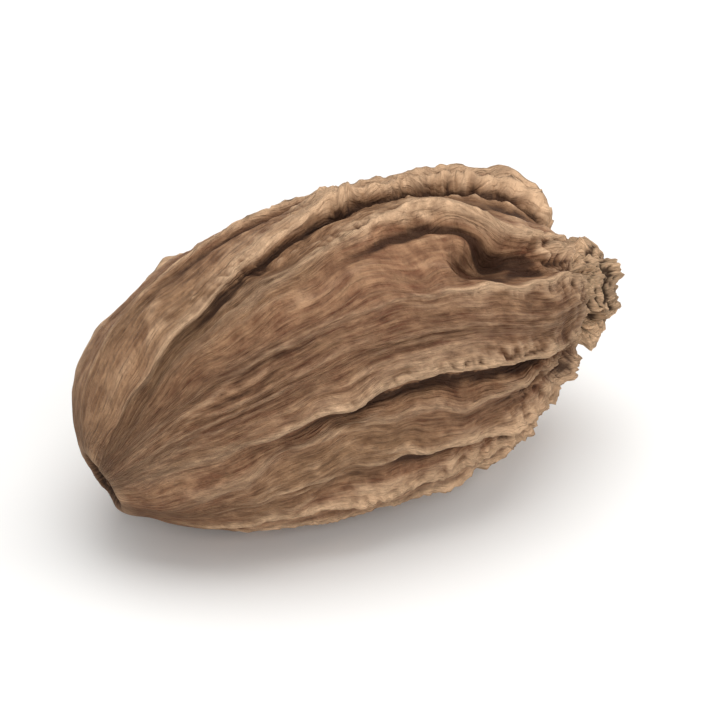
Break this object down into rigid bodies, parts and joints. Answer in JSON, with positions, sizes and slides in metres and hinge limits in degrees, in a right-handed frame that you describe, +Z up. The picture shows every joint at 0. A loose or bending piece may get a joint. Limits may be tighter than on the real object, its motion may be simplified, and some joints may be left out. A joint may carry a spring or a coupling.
{
  "type": "black cardamom pod",
  "caption": "Dried black cardamom pod lying on its side: a plump, bent oval husk with frilly lengthwise ribs, a round stem scar and a crumpled calyx remnant at the other end.",
  "frame": {"origin": "centre of the bounding box's bottom face, on the surface that the pod rests on", "axes": "+X along the pod from the stem scar to the calyx remnant, +Z up, +Y across the pod"},
  "size_m": [0.0336, 0.0188, 0.0175],
  "materials": {
    "husk": "dry matt fibrous husk"
  },
  "bodies": {
    "root": {"pod": "husk"}
  },
  "joints": []
}
